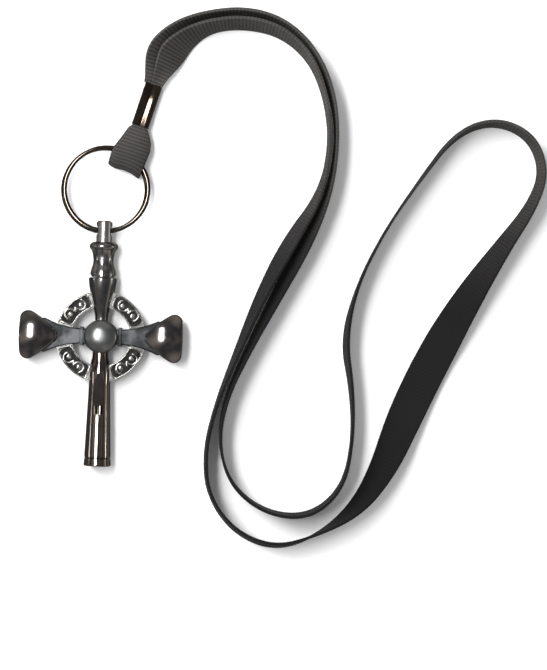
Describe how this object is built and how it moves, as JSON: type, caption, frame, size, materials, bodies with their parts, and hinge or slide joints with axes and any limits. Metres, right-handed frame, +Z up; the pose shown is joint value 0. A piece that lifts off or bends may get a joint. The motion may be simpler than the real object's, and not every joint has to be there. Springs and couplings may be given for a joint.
{
  "type": "training whistle",
  "caption": "Adjustable dog training whistle shaped as a ringed cross, with a tuning knob, split ring, crimped strap loop and woven neck strap.",
  "frame": {"origin": "on the table, under the middle of the whistle and its split ring, strap left out", "axes": "+Y along the whistle from the mouthpiece to the ring, +Z up out of the front face, +X towards the strap"},
  "size_m": [0.1755, 0.1806, 0.0127],
  "materials": {
    "knob_metal": "polished dark nickel",
    "barrel_metal": "polished dark nickel",
    "tube_metal": "polished black nickel",
    "rod_steel": "turned",
    "brass": "turned",
    "seal_rubber": "matt",
    "hub_metal": "polished cast",
    "arm_metal": "semi-matt cast",
    "halo_silver": "antiqued cast",
    "cap_metal": "polished black nickel",
    "block_plastic": "moulded",
    "ring_steel": "black nickel",
    "crimp_metal": "black nickel, rolled",
    "webbing": "ribbed woven"
  },
  "bodies": {
    "whistle": {"upper_barrel": "barrel_metal", "barrel_bush": "brass", "hub_core": "hub_metal", "hub_dome_front": "hub_metal", "hub_dome_back": "hub_metal", "left_arm": "arm_metal", "right_arm": "arm_metal", "left_arm_collar": "arm_metal", "right_arm_collar": "arm_metal", "halo_upper_left": "halo_silver", "halo_upper_right": "halo_silver", "halo_lower_left": "halo_silver", "halo_lower_right": "halo_silver", "left_cap_front": "cap_metal", "left_cap_back": "cap_metal", "right_cap_front": "cap_metal", "right_cap_back": "cap_metal", "whistle_tube": "tube_metal", "fipple_block": "block_plastic", "mouthpiece": "tube_metal"},
    "plug": {"piston": "brass", "piston_seal": "seal_rubber"},
    "tuner": {"ring_stem": "knob_metal", "tuning_knob": "knob_metal", "knob_collar": "knob_metal", "tuning_rod": "rod_steel"},
    "ring": {"split_ring": "ring_steel"},
    "lanyard": {"strap_bight": "webbing", "crimp": "crimp_metal", "neck_strap": "webbing"}
  },
  "joints": [
    {"name": "tuner_advance", "type": "slide", "parent": "whistle", "child": "plug", "axis": [0, 1, 0], "range_m": [0, 0.003]},
    {"name": "tuner_turn", "type": "hinge", "parent": "plug", "child": "tuner", "pos_m": [0, -0.01051, 0.005], "axis": [0, 1, 0], "range_deg": [0, 2160]},
    {"name": "ring_swing", "type": "hinge", "parent": "tuner", "child": "ring", "pos_m": [0, 0.02519, 0.005], "axis": [1, 0, 0], "range_deg": [-95, 95]},
    {"name": "loop_travel", "type": "hinge", "parent": "ring", "child": "lanyard", "pos_m": [0, 0.03932, 0.00426], "axis": [0, 0.0523, 0.9986], "range_deg": [-8, 130]}
  ],
  "couplings": [
    {"joint": "tuner_advance", "follows": "tuner_turn", "m_per_rad": 0.000079577}
  ]
}
